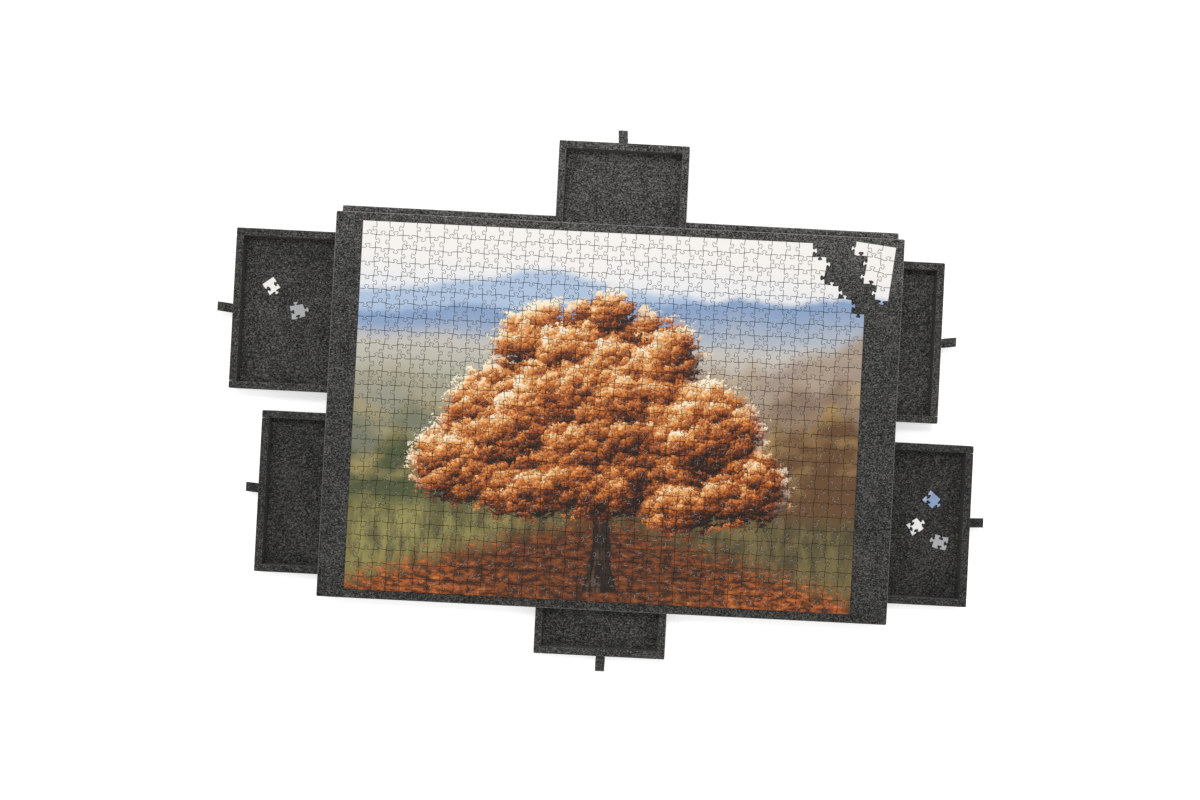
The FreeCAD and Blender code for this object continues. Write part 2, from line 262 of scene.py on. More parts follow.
def setFloor():
    bpy.ops.object.select_all(action="DESELECT")
    bpy.ops.mesh.primitive_plane_add(size=light["floorSize"])
    ground = bpy.context.object
    ground.name = "ground"
    pale = newFinish("ground_white")
    matt = pale.value("ShaderNodeBsdfDiffuse", None, {"Color": light["floorWhite"]})
    shine = seenDirectly(pale) * light["floorGlow"]
    glow = pale.value("ShaderNodeEmission", None, {"Strength": shine})
    both = pale.value("ShaderNodeAddShader", None, {0: matt, 1: glow})
    pale.node("ShaderNodeOutputMaterial", None, {"Surface": both})
    ground.data.materials.append(pale.owner)


bpy.context.scene.view_settings.view_transform = "Standard"
setCamera()
setLight()
setFloor()
print("camera, light and floor set")


# Felt: charcoal tufts and paler strands. Painted shade darkens a drawer's inner faces and the base
# close beside the top, painted light brightens the board toward its rear, and turned edges take paler
# fibres and a painted highlight. Sizes of a pattern are per metre.

felt = dict(
    dark=srgb(17, 17, 17), middle=srgb(58, 58, 57), pale=srgb(122, 121, 117),
    # the pale fibre colour also paints the highlight on turned edges
    paleFibreAndHighlight=srgb(158, 157, 151), cloud=26, tuft=520, grain=1500, nap=0.1, depth=0.35 * mm,
    strand=(190, 900, 900),
    strandLays=[((8, 14, 22), 0.0), ((-12, 9, 83), 3.1), ((10, -16, 141), 7.7)],      # turn, shift
    casingRim=0.80, drawerRim=0.2,            # how pale a turned edge is: stood-up fibres and a painted highlight
    # painted shade down a drawer's inner faces
    insideShade=0.46,
    # painted light: the board's felt grows lighter toward its rear, most of all along its rear edge
    rearLight=dict(middle=1.04, slope=0.65, gain=0.40, start=0.17, full=0.25),
    # painted shadow on the base's ledge close beside the top
    shadowBesideTop=dict(least=0.60, start=0.2665, full=0.2715),
    # tone is painted light and shade: each drawer's felt is a lighter or darker copy, lighter to the
    # rear and darker to the front and right, and the base's is raised as its ledge lies half in shade
    tone=dict(casing=0.76, base=1.68, rear_left_drawer=0.77, front_left_drawer=0.62,
              rear_right_drawer=0.80, front_right_drawer=0.56, back_drawer=1.18,
              front_drawer=0.78))


def makeFelt(body, tone):
    cloth = newFinish("felt_" + body)
    place = cloth.place()
    cloud = cloth.noise(place, felt["cloud"], 3, 0.6) - 0.5
    tuft = cloth.noise(place, felt["tuft"], 3, 0.72, 0.4) - 0.5
    grain = cloth.noise(place, felt["grain"], 2, 0.6) - 0.5
    strands = None
    for turn, shift in felt["strandLays"]:
        along = cloth.mapped(place, felt["strand"], turn, (shift, shift, shift))
        line = cloth.noise(along, 1, 2, 0.5, 0.7).rise(0.60, 0.70)
        strands = line if strands is None else strands.most(line)
    shade = 0.42 + tuft * 4.2 + grain * 1.4 + cloud * 0.5
    colour = cloth.ramp(shade, (0.0, felt["dark"]), (0.5, felt["middle"]), (1.0, felt["pale"]))
    colour = cloth.mix(colour, felt["paleFibreAndHighlight"], strands * (0.34 + tuft * 1.2).held())
    lean = cloth.parts(cloth.facing())[2]
    # turned edges are painted paler: stood-up fibres and a painted highlight
    rimFibresAndHighlight = felt["casingRim"] if body in ("casing", "base") else felt["drawerRim"]
    turned = (lean * (1 - lean) * 4).held()                    # 1 in the middle of a round edge
    colour = cloth.mix(colour, felt["paleFibreAndHighlight"], turned * (rimFibresAndHighlight + tuft * 2.4).held())
    # painted shade on the faces marked inside, times the body's tone of painted light and shade
    level = (1 - cloth.marked("inside") * felt["insideShade"]) * tone
    # painted light toward the board's rear
    if body == "casing":
        rear = felt["rearLight"]
        rearward = cloth.parts(place)[1]
        gain = rearward.rise(rear["start"], rear["full"]) * rear["gain"]
        level = level * (rear["middle"] + rearward * rear["slope"] + gain)
    # painted shadow on the base close beside the top
    if body == "base":
        beside = felt["shadowBesideTop"]
        clear = cloth.parts(place)[1].rise(beside["start"], beside["full"])
        level = level * (beside["least"] + (1 - beside["least"]) * clear)
    height = tuft * 1.2 + grain * 0.5 + strands * 0.5
    return cloth.close(Base_Color=cloth.scaled(colour, level), Roughness=1.0, Specular_IOR_Level=0.12,
                       Sheen_Weight=felt["nap"], Sheen_Roughness=0.6,
                       Normal=cloth.bump(height, felt["depth"], 0.8))


board = dict(pale=srgb(176, 143, 106), dark=srgb(128, 97, 66), speck=srgb(84, 62, 42),
             chip=700, cloud=14, speckle=420, depth=0.08 * mm)


def makeFibreboard():
    wood = newFinish("fibreboard")
    place = wood.place()
    chips = wood.noise(wood.mapped(place, (1, 1, 2.5)), board["chip"], 4, 0.65)
    cloud = wood.noise(place, board["cloud"], 2, 0.5)
    colour = wood.mix(board["dark"], board["pale"], (chips * 1.3 + cloud * 0.5 - 0.4).held())
    cells = {"Vector": place, "Scale": board["speckle"]}
    specks = wood.value("ShaderNodeTexVoronoi", None, cells, "Distance").rise(0.22, 0.05)
    colour = wood.mix(colour, board["speck"], specks * 0.5)
    return wood.close(Base_Color=colour, Roughness=0.78 + chips * 0.1,
                      Normal=wood.bump(chips, board["depth"]))


card = dict(back=srgb(182, 183, 185), backSpeck=srgb(146, 147, 151), pulp=900, pulpDepth=0.03 * mm,
            edge=srgb(158, 152, 143), edgeDark=srgb(104, 99, 93), ply=2600, plyDepth=0.05 * mm,
            # the rim colour is worn print darkened as painted shade of the cut; the pale one is a
            # painted highlight
            rim=srgb(32, 29, 26), paintedGlint=srgb(250, 248, 243), rimPatch=130,
            screen=520, linen=900, linenDepth=0.012 * mm)


def makeCardBack():
    paper = newFinish("card_back")
    place = paper.place()
    pulp = paper.noise(place, card["pulp"], 3, 0.6)
    flecks = paper.noise(paper.mapped(place, (300, 1200, 600), (0, 0, 35)), 1, 2).rise(0.6, 0.75)
    colour = paper.mix(card["back"], card["backSpeck"], (pulp * 0.5 + flecks * 0.5).held())
    return paper.close(Base_Color=colour, Roughness=0.85, Normal=paper.bump(pulp, card["pulpDepth"]))


def makeCardEdge():
    paper = newFinish("card_edge")
    plies = paper.noise(paper.mapped(paper.place(), (60, 60, card["ply"])), 1, 3, 0.6)
    colour = paper.mix(card["edgeDark"], card["edge"], plies.rise(0.35, 0.65))
    return paper.close(Base_Color=colour, Roughness=0.9, Normal=paper.bump(plies, card["plyDepth"]))


# The picture on the jigsaw: a great autumn tree before blue hills. Its place comes from each piece's
# spot in the picture, in picture heights from the front left corner, and sizes here are such heights.

scenery = dict(
    width=1.3704, turn=(0.30, 0.70),          # where the left's colours turn to the right's
    skyTop=srgb(247, 243, 239), skyLow=srgb(230, 234, 240), skyTurn=(0.84, 1.0),
    farHill=srgb(176, 196, 222), farTop=0.885, farPeak=0.52, farFall=0.13,
    nearHill=srgb(133, 160, 198), nearTop=0.812, nearPlace=0.75, nearRise=0.07,
    hillFoot=srgb(186, 190, 196), mist=srgb(202, 196, 188), mistTurn=(0.46, 0.72),
    plainLeft=srgb(142, 148, 104), plainRight=srgb(176, 142, 104), plainTop=0.70,
    woodLeft=srgb(96, 110, 66), woodRight=srgb(138, 90, 50), woodLight=srgb(190, 164, 106),
    woodRows=[(0.35, 0.56, 6.0, 1.4), (0.7, 0.47, 8.5, 6.2), (1.0, 0.37, 12.0, 9.5)],
    shade=srgb(54, 50, 36),
    meadowLeft=srgb(150, 142, 84), meadowRight=srgb(118, 104, 64), meadowTop=0.25,
    ground=srgb(70, 38, 20), groundLeaf=srgb(184, 96, 38), groundGlint=srgb(236, 172, 98),
    groundTop=0.13, trunk=0.68, litterReach=0.42, shadowReach=0.40, shadowMiddle=0.10,
    bark=srgb(36, 25, 19), barkLight=srgb(112, 84, 62))

# The tree: lobes of its crown as (x, y, half width, half height), limbs as (foot, tip, thickness), and
# the colours of its leaves from shade to light
tree = dict(
    lobes=[(0.66, 0.50, 0.30, 0.22), (0.43, 0.47, 0.20, 0.17), (0.91, 0.45, 0.21, 0.17),
           (0.53, 0.67, 0.17, 0.13), (0.77, 0.66, 0.18, 0.13), (0.67, 0.76, 0.12, 0.08),
           (0.30, 0.36, 0.14, 0.12), (1.05, 0.33, 0.14, 0.12), (0.68, 0.34, 0.24, 0.12),
           (0.46, 0.30, 0.15, 0.09), (0.90, 0.28, 0.14, 0.09)],
    limbs=[((0.69, 0.03), (0.685, 0.34), 0.028), ((0.685, 0.22), (0.46, 0.47), 0.014),
           ((0.685, 0.24), (0.92, 0.46), 0.014), ((0.68, 0.30), (0.60, 0.66), 0.012),
           ((0.69, 0.32), (0.78, 0.62), 0.010), ((0.58, 0.34), (0.34, 0.36), 0.008),
           ((0.80, 0.35), (1.03, 0.34), 0.008)],
    leaf=[(0.06, srgb(28, 13, 6)), (0.26, srgb(98, 44, 14)), (0.44, srgb(172, 86, 30)),
          (0.60, srgb(216, 134, 62)), (0.76, srgb(240, 190, 126)), (0.95, srgb(253, 240, 214))],
    clumps=[(8, 0.0), (19, 2.3), (46, 5.9)])  # how many to a picture height, shift


def ridge(paint, along, size, height, detail=4, roughness=0.5):
    # the stray of a wavy skyline
    return (paint.noise(along, size, detail, roughness) - 0.5) * height


def paintHills(paint, flat, along, x, y):
    s = scenery
    haze = paint.noise(paint.mapped(flat, (1.2, 5, 1)), 1.6, 3, 0.5)
    colour = paint.mix(s["skyLow"], s["skyTop"], (y + haze * 0.12).rise(*s["skyTurn"]))
    far = s["farTop"] - (x - s["farPeak"]).size() * s["farFall"] + ridge(paint, along, 3.2, 0.10)
    colour = paint.mix(colour, s["farHill"], (far - y).rise(-0.012, 0.02))
    near = s["nearTop"] + (x - s["nearPlace"]) * s["nearRise"] + ridge(paint, along, 5.5, 0.09)
    slope = paint.mix(s["hillFoot"], s["nearHill"], (y - near).rise(-0.15, 0.0))
    return paint.mix(colour, slope, (near - y).rise(-0.01, 0.018))


def paintWoods(paint, colour, flat, along, x, y):
    # a misty plain and rows of woods as (nearness, top, size of their lumps, seed), out of focus
    s = scenery
    sideways = (x / s["width"]).rise(*s["turn"])
    plain = paint.mix(s["plainLeft"], s["plainRight"], sideways)
    plain = paint.mix(plain, s["mist"], y.rise(*s["mistTurn"]))
    plainTop = s["plainTop"] + ridge(paint, along, 7, 0.05, 2, 0.4)
    colour = paint.mix(colour, plain, (plainTop - y).rise(-0.03, 0.03))
    wood = paint.mix(s["woodLeft"], s["woodRight"], sideways)
    for nearness, top, size, seed in s["woodRows"]:
        own = paint.mapped(flat, (1, 1.4, 1), (0, 0, 0), (seed, seed, 0))
        lump = paint.noise(own, size, 2, 0.45)
        tops = top + ridge(paint, paint.mapped(along, shift=(seed, 0, 0)), size * 0.8, 0.30, 2)
        tops = tops + (x - 0.66).size() * 0.07 + (x - 0.85).most(0.0) * 0.25
        dark = paint.mix(wood, s["shade"], 0.55 * nearness)
        bright = paint.mix(wood, s["woodLight"], 0.55)
        row = paint.mix(dark, bright, (lump + (y - tops) * 1.6).rise(0.25, 0.72))
        row = paint.mix(s["mist"], row, 0.35 + 0.65 * nearness)
        colour = paint.mix(colour, row, (tops - y).rise(-0.025, 0.035))
    return colour


def paintMeadow(paint, colour, flat, along, x, y):
    # grass, fallen leaves on it and the tree's shadow
    s = scenery
    grass = paint.noise(paint.mapped(flat, (30, 9, 1), (0, 0, 6)), 1, 4, 0.6, 0.4)
    field = paint.mix(s["meadowLeft"], s["meadowRight"], (x / s["width"]).rise(*s["turn"]))
    hollow = (grass + paint.noise(flat, 7, 2, 0.5) * 0.6).rise(0.62, 1.0)
    field = paint.mix(field, s["shade"], hollow * 0.7)
    meadowTop = s["meadowTop"] + ridge(paint, along, 4, 0.06)
    colour = paint.mix(colour, field, (meadowTop - y).rise(-0.03, 0.04))
    patch = paint.noise(paint.mapped(flat, (1, 2.2, 1)), 34, 5, 0.7)
    litter = paint.mix(s["ground"], s["groundLeaf"], patch.rise(0.40, 0.62))
    litter = paint.mix(litter, s["groundGlint"], patch.rise(0.58, 0.78))
    aside = (x - s["trunk"]).size()
    strewn = s["groundTop"] - y + (s["litterReach"] - aside) * 0.28 + (patch - 0.5) * 0.16
    colour = paint.mix(colour, litter, strewn.rise(-0.02, 0.06))
    cast = (s["shadowReach"] - aside) * 0.5 + (0.14 - (y - s["shadowMiddle"]).size())
    cast = (cast + (grass - 0.5) * 0.2).rise(0.02, 0.22)
    return paint.mix(colour, s["bark"], cast * 0.55)


def clumps(paint, flat, size, shift):
    # clumps of leaves lit from above: about 0 underneath and 1 on top
    place = paint.mapped(flat, shift=(shift, shift, 0))
    stir = paint.noise(place, size * 1.3, 4.0, 0.68, output="Color")
    stir = paint.vectors("SUBTRACT", stir, (0.5, 0.5, 0.5))
    bent = paint.vectors("MULTIPLY_ADD", stir, (1.5 / size, 1.5 / size, 0), place)
    sockets = {"Vector": bent, "Scale": size}
    cell = paint.node("ShaderNodeTexVoronoi", dict(voronoi_dimensions="2D"), sockets)
    centre = Value(paint, cell.outputs["Position"])
    across, above, _ = paint.parts(paint.vectors("SUBTRACT", bent, centre))
    own = paint.parts(Value(paint, cell.outputs["Color"]))[0]
    return 0.5 + (above * 0.8 - across * 0.3) * size + (own - 0.5) * 0.3


def limbsOf(ragged, x, y):
    # 1 on the trunk and the boughs
    wood = None
    for foot, tip, thickness in tree["limbs"]:
        run = Vector(tip) - Vector(foot)
        length = run.length
        way = run / length
        reach = (x - foot[0]) * way.x + (y - foot[1]) * way.y
        aside = ((x - foot[0]) * way.y - (y - foot[1]) * way.x + ragged * 0.03).size()
        flare = 1.35 - (reach / length).held() + (0.05 - reach).most(0.0) * 9
        limb = (thickness * flare - aside).rise(0.0, 0.004)
        limb = limb * reach.rise(-0.01, 0.0) * (length - reach).rise(-0.01, 0.0)
        wood = limb if wood is None else wood.most(limb)
    return wood


def paintTree(paint, colour, flat, x, y):
    ragged = paint.noise(flat, 16, 6, 0.72) - 0.5
    fine = paint.noise(flat, 150, 3, 0.7) - 0.5
    streaks = paint.noise(paint.mapped(flat, (90, 14, 1)), 1, 3, 0.6).rise(0.45, 0.75)
    streaks = streaks * (0.70 - x).rise(-0.02, 0.03)
    bark = paint.mix(scenery["bark"], scenery["barkLight"], streaks)
    colour = paint.mix(colour, bark, limbsOf(ragged, x, y))
    crown, sun = None, None
    for centreX, centreY, reachX, reachY in tree["lobes"]:
        wide = (x - centreX) / reachX
        high = (y - centreY) / reachY
        lobe = (1.0 - (wide * wide + high * high).root()) * (reachY / 0.2) + (ragged * 0.18)
        side = high * 0.30 - wide * 0.16
        if crown is None:
            crown, sun = lobe, side
        else:
            sun = sun + (side - sun) * (lobe - crown).rise(-0.05, 0.05)
            crown = crown.most(lobe)
    big, middle, small = [clumps(paint, flat, *kind) - 0.5 for kind in tree["clumps"]]
    tone = 0.42 + sun * 1.05 + big * 0.32 + middle * 0.34 + small * 0.26 + fine * 0.95 + ragged * 0.35
    leaf = paint.ramp(tone, *tree["leaf"])
    edge = crown.rise(0.14, 0.0) * (middle + small + fine).rise(-0.2, 0.5) * y.rise(0.24, 0.40)
    leaf = paint.mix(leaf, tree["leaf"][-1][1], edge * 0.7)
    within = (crown + (middle * 0.08 + small * 0.10 + fine * 0.25)).rise(0.0, 0.02)
    dense = crown * 1.4 + big * 0.3 + middle * 0.35 + small * 0.2 + ragged * 0.7
    return paint.mix(colour, leaf, within * dense.rise(-0.17, -0.10))


def pressRims(paint, colour, flat, rimWearShadeAndGlint):
    # the pressed rim along each cut is painted dark, as worn print and as painted shade of the cut,
    # with painted highlights on knobs that face the rear left, toward the lamp
    faceX, faceY, _ = paint.parts(paint.facing())
    lit = (faceY * 0.8 - faceX * 0.6).rise(0.0, 0.25)
    patchy = paint.noise(flat, card["rimPatch"], 2, 0.6).rise(0.40, 0.50)
    glint = paint.mix(colour, card["paintedGlint"], 0.7)
    rim = paint.mix(card["rim"], glint, paint.marked("glint") * lit * patchy)
    return paint.mix(colour, rim, rimWearShadeAndGlint)


def makePicture():
    paint = newFinish("printed_card")
    x, y, rimWearShadeAndGlint = paint.parts(paint.marked("pictureSpot", "Vector"))
    flat = paint.vector(x, y)
    along = paint.vector(x, 0.0)
    colour = paintHills(paint, flat, along, x, y)
    colour = paintWoods(paint, colour, flat, along, x, y)
    colour = paintMeadow(paint, colour, flat, along, x, y)
    colour = paintTree(paint, colour, flat, x, y)
    screen = paint.noise(flat, card["screen"], 2, 0.5)                     # of the print
    colour = paint.mix(colour, white, (screen - 0.5).most(0.0) * 0.18)
    colour = pressRims(paint, colour, flat, rimWearShadeAndGlint)
    linen = paint.noise(flat, card["linen"], 2, 0.5)
    return paint.close(Base_Color=colour, Roughness=0.24 + linen * 0.14, Specular_IOR_Level=0.16,
                       Normal=paint.bump(linen, card["linenDepth"]))


# one felt per body, lighter or darker by its tone of painted light and shade
feltFinish = {body: makeFelt(body, tone) for body, tone in felt["tone"].items()}
boardFinish = makeFibreboard()
backFinish = makeCardBack()
edgeFinish = makeCardEdge()
pictureFinish = makePicture()
print("finishes made")


# Shaping helpers

def onlySelect(piece):
    bpy.ops.object.select_all(action="DESELECT")
    piece.select_set(True)
    bpy.context.view_layer.objects.active = piece


def addBox(name, low, high):
    bpy.ops.object.select_all(action="DESELECT")
    middle = [(a + b) / 2 for a, b in zip(low, high)]
    bpy.ops.mesh.primitive_cube_add(size=1, location=middle)
    piece = bpy.context.object
    piece.name = piece.data.name = name
    piece.scale = [b - a for a, b in zip(low, high)]
    bpy.ops.object.transform_apply(location=True, rotation=True, scale=True)
    return piece


def addSheet(name, columns, rows):
    # a flat grid one metre square
    bpy.ops.object.select_all(action="DESELECT")
    bpy.ops.mesh.primitive_grid_add(x_subdivisions=columns, y_subdivisions=rows, size=1)
    piece = bpy.context.object
    piece.name = piece.data.name = name
    return piece


def thicken(piece, thickness, offset):
    onlySelect(piece)
    thick = piece.modifiers.new("thickness", "SOLIDIFY")
    thick.thickness = thickness
    thick.offset = offset
    bpy.ops.object.modifier_apply(modifier=thick.name)


def chooseEdges(piece, test):
    # leaves the piece in edit mode with the edges selected whose two ends pass
    onlySelect(piece)
    bpy.ops.object.mode_set(mode="EDIT")
    bpy.ops.mesh.select_mode(type="EDGE")
    bpy.ops.mesh.select_all(action="DESELECT")
    shape = bmesh.from_edit_mesh(piece.data)
    for edge in shape.edges:
        if all(test(corner.co) for corner in edge.verts):
            edge.select_set(True)
    bmesh.update_edit_mesh(piece.data)


def roundOff(piece, test, radius, steps):
    chooseEdges(piece, test)
    bpy.ops.mesh.bevel(offset=radius, segments=steps, affect="EDGES", clamp_overlap=True)
    bpy.ops.object.mode_set(mode="OBJECT")


def roundUpright(piece, x, y, radius, steps):
    roundOff(piece, lambda p: abs(p.x - x) < hair and abs(p.y - y) < hair, radius, steps)


def roundTop(piece, level, radius, steps):
    roundOff(piece, lambda p: p.z > level - hair, radius, steps)


def cutAway(piece, low, high):
    tool = addBox("cutter", low, high)
    onlySelect(piece)
    cut = piece.modifiers.new("cut", "BOOLEAN")
    cut.operation = "DIFFERENCE"
    cut.solver = "EXACT"
    cut.object = tool
    bpy.ops.object.modifier_apply(modifier=cut.name)
    bpy.data.objects.remove(tool)


def smooth(piece, angle=35):
    # round edges shade round, and the flat faces beside them stay flat
    onlySelect(piece)
    bpy.ops.object.shade_smooth_by_angle(angle=math.radians(angle))
    weights = piece.modifiers.new("weights", "WEIGHTED_NORMAL")
    weights.keep_sharp = True
    bpy.ops.object.modifier_apply(modifier=weights.name)


def dress(piece, finish, body, slot, *replaced):
    piece.data.materials.clear()
    piece.data.materials.append(finish)
    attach(piece, body)
    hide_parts(*replaced)


def repaint(node, finish):
    for holder in nodes[node].material_slots:
        holder.material = finish


# Casing: its boards keep their CAD shape, and their felt covers are made anew

cover = dict(corner=2.0 * mm, rim=1.4 * mm, steps=4, open=5 * mm)


def makeCover(node, core, finish):
    low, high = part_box(node)
    piece = addBox(node + "_cover", low, high)
    for x in (low.x, high.x):
        for y in (low.y, high.y):
            roundUpright(piece, x, y, cover["corner"], cover["steps"])
    roundTop(piece, high.z, cover["rim"], cover["steps"])
    coreLow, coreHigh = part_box(core)
    cutAway(piece, coreLow - up * cover["open"], coreHigh)
    smooth(piece)
    dress(piece, finish, "casing", "felt", node)
    return piece


makeCover("top_felt", "top_board", feltFinish["casing"])
makeCover("base_felt", "base_board", feltFinish["base"])
for node in ("top_board", "base_board", "left_guide", "right_guide", "centre_stop"):
    repaint(node, boardFinish)
for node in ("left_divider", "right_divider", "rear_left_rail", "rear_right_rail",
             "front_left_rail", "front_right_rail"):
    repaint(node, feltFinish["casing"])
print("casing dressed")


# Drawers. A tab is folded double and glued into a slot in the front wall, and crooks sideways by so
# many millimetres at its tip.

wall = dict(topRound=1.2 * mm, endRound=1.5 * mm, steps=4, gap=0.1 * mm)
lining = dict(cell=8 * mm, hollow=0.3 * mm, wave=35, seed=5, rim=0.4 * mm, steps=2, smoothing=50)
tab = dict(width=11.8 * mm, spread=1.0 * mm, ragged=0.25 * mm, rag=0.6, thickness=1.2 * mm,
           slot=6 * mm, anchor=5.9 * mm, grip=0.5 * mm, fold=0.68 * mm, steps=60, cells=4,
           droop=0.9 * mm, widening=4, crookGrowth=0.8, smoothing=50,
           crook={"rear_left_drawer": -2.6, "front_left_drawer": -1.5, "rear_right_drawer": 3.6,
                  "front_right_drawer": 0.9, "back_drawer": 1.2, "front_drawer": -0.4})


def outerCorners(which, low, high, centre, pull):
    # where upright edges are rounded: at both outer corners of a front or back wall, and at the
    # front outer corner of a side wall
    middle = (low + high) / 2
    side = up.cross(pull)
    if (middle - centre).dot(side) < 0:
        side = -side
    outward = {"front": pull, "back": -pull}.get(which, side)
    forward = outward if which in ("front", "back") else pull
    corners = [Vector((x, y, middle.z)) for x in (low.x, high.x) for y in (low.y, high.y)]
    return [c for c in corners if (c - middle).dot(outward) > 0 and (c - middle).dot(forward) > 0]


def makeWall(drawer, which, pull):
    node = f"{drawer}_{which}_wall"
    low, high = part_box(node)
    centre = sum(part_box(drawer + "_lining"), Vector()) / 2
    piece = addBox(node + "_covered", low, high)
    for corner in outerCorners(which, low, high, centre, pull):
        roundUpright(piece, corner.x, corner.y, wall["endRound"], wall["steps"])
    roundTop(piece, high.z, wall["topRound"], wall["steps"])
    gap = Vector((wall["gap"],) * 3)
    let = ["_floor", "_tab"] if which == "front" else ["_floor"]      # what is let into the wall
    for name in let:
        letLow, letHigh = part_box(drawer + name)
        cutAway(piece, letLow - gap, letHigh + gap)
    smooth(piece)
    # inside marks a wall's inner faces, which the felt darkens with painted shade
    inside = piece.data.attributes.new("inside", "FLOAT", "FACE")
    for face in piece.data.polygons:
        inward = face.normal.dot(centre - face.center) > 0 and abs(face.normal.z) < 0.5
        inside.data[face.index].value = float(inward)
    dress(piece, feltFinish[drawer], drawer, "felt_over_board", node)
    return piece


def makeLining(drawer):
    low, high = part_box(drawer + "_lining")
    size = high - low
    piece = addSheet(drawer + "_lining_felt", round(size.x / lining["cell"]),
                     round(size.y / lining["cell"]))
    piece.location = (low + high) / 2
    piece.location.z = high.z
    piece.scale = (size.x, size.y, 1)
    bpy.ops.object.transform_apply(location=True, rotation=True, scale=True)
    thicken(piece, size.z, -1)

    def atRim(p):
        fromSides = min(p.x - low.x, high.x - p.x, p.y - low.y, high.y - p.y)
        return p.z > high.z - hair and fromSides < hair

    roundOff(piece, atRim, lining["rim"], lining["steps"])
    for corner in piece.data.vertices:
        if corner.co.z > high.z - hair:
            swell = noise.noise(corner.co * lining["wave"] + up * lining["seed"])
            corner.co.z -= lining["hollow"] * (0.5 + 0.5 * swell)
    smooth(piece, lining["smoothing"])
    dress(piece, feltFinish[drawer], drawer, "felt", drawer + "_lining")
    return piece


def makeTab(drawer, pull):
    low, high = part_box(drawer + "_tab")
    out = abs((high - low).dot(pull))
    side = up.cross(pull)
    back = tab["slot"] - tab["anchor"]
    start = (low + high) / 2 - pull * (out / 2 - back)
    run = out - back - tab["fold"] - tab["thickness"] / 2
    turnLength = math.pi * tab["fold"]
    whole = 2 * run + turnLength
    piece = addSheet(drawer + "_tab_felt", tab["steps"], tab["cells"])
    crook = tab["crook"][drawer]
    for corner in piece.data.vertices:
        spot = (corner.co.x + 0.5) * whole                    # how far along the felt
        if spot < run:
            along, level = spot, -tab["fold"]
        elif spot > run + turnLength:
            along, level = whole - spot, tab["fold"]
        else:
            angle = (spot - run) / tab["fold"]
            along, level = run + math.sin(angle) * tab["fold"], -math.cos(angle) * tab["fold"]
        free = max(0, along - tab["anchor"] - tab["grip"]) / (run - tab["anchor"])
        opened = min(1, free * tab["widening"])
        rag = noise.noise(Vector((spot / mm * tab["rag"], 3 * corner.co.y, crook)))
        wide = tab["width"] + tab["spread"] * opened + 2 * tab["ragged"] * opened * rag
        sideways = corner.co.y * wide + crook * mm * free ** tab["crookGrowth"]
        height = level - tab["droop"] * free ** 2
        corner.co = start + pull * along + side * sideways + up * height
    thicken(piece, tab["thickness"], 0)
    smooth(piece, tab["smoothing"])
    dress(piece, feltFinish[drawer], drawer, "felt", drawer + "_tab")
    return piece


for drawer, pull in pulls.items():
    for which in ("left", "right", "front", "back"):
        makeWall(drawer, which, pull)
    makeLining(drawer)
    makeTab(drawer, pull)
    repaint(drawer + "_floor", boardFinish)
    print(drawer, "made")


# Jigsaw, in millimetres. Rows count from the rear and columns from the left, both from 1. The stray of
# the grid, of the cuts and of their knobs follows sines, so that it is the same each time.

jigsaw = dict(
    pitch=18.5, columns=37, rows=27, left=6.75, rear=0.25, foot=47.5, card=2.0, sink=0.05,
    wander=0.5, bow=0.8, wave=0.45, kerf=0.30,
    stray=0.8, knobSize=1.05, vary=0.09, skew=0.12, glintFrom=1.0,
    neck=1.15, neckRadius=1.25, neckTurn=78, cornerRadius=1.05, endRadius=6.0,
    # how fully the rim takes its colour of wear, painted shade and painted highlight
    rimWidth=0.48, rimDrop=0.26, rimWearShadeAndGlint=0.95)
laidColumns = [33, 34, 34, 35, 36]            # in the first rows, the others are whole
leftHalf, rightHalf = (1, 18), (19, 37)       # columns of the two meshes
cornerPieces = [(1, 35), (1, 36), (1, 37), (2, 36), (2, 37), (3, 36), (3, 37), (4, 37)]
cornerMove = dict(shift=(39.0, -0.5), turn=-6.0)
loosePieces = {                               # piece, where its middle lies, turn, picture down
    "rear_left_drawer": [((1, 34), (-476.0, 157.3), 37, False),
                         ((3, 35), (-438.9, 123.6), 13, True)],
    "front_right_drawer": [((5, 37), (446.3, -90.6), 51, False),
                           ((4, 36), (424.8, -129.3), -55, False),
                           ((2, 35), (461.0, -148.4), 79, True)],
}


def arcPoints(centre, radius, start, finish, steps):
    points = []
    for step in range(steps + 1):
        angle = start + (finish - start) * step / steps
        way = Vector((math.cos(angle), math.sin(angle)))
        points.append((centre + way * radius, way))
    return points


def knobPoints(neckSteps, cornerSteps):
    # one knob as (point, normal), on a cut that runs along X
    j = jigsaw
    neck = Vector((-j["neck"] - j["neckRadius"], j["neckRadius"]))
    lean = math.radians(j["neckTurn"])
    corner = neck + Vector((math.cos(lean), math.sin(lean))) * (j["neckRadius"] + j["cornerRadius"])
    drop = math.sqrt((j["endRadius"] - j["cornerRadius"]) ** 2 - corner.x ** 2)
    crown = Vector((0, corner.y - drop))
    shoulder = math.atan2(drop, corner.x)
    neckSide = arcPoints(neck, j["neckRadius"], -math.pi / 2, lean, neckSteps)
    cornerSide = arcPoints(corner, j["cornerRadius"], lean + math.pi, shoulder, cornerSteps)
    crownSide = arcPoints(crown, j["endRadius"], shoulder, math.pi / 2, 1)
    half = [(point, -way) for point, way in neckSide] + cornerSide[1:] + crownSide[1:]
    other = [(Vector((-p.x, p.y)), Vector((-n.x, n.y))) for p, n in reversed(half[:-1])]
    return half + other


roughKnob = knobPoints(2, 2)                  # for the hundreds of laid pieces
fineKnob = knobPoints(4, 4)                   # for the loose ones


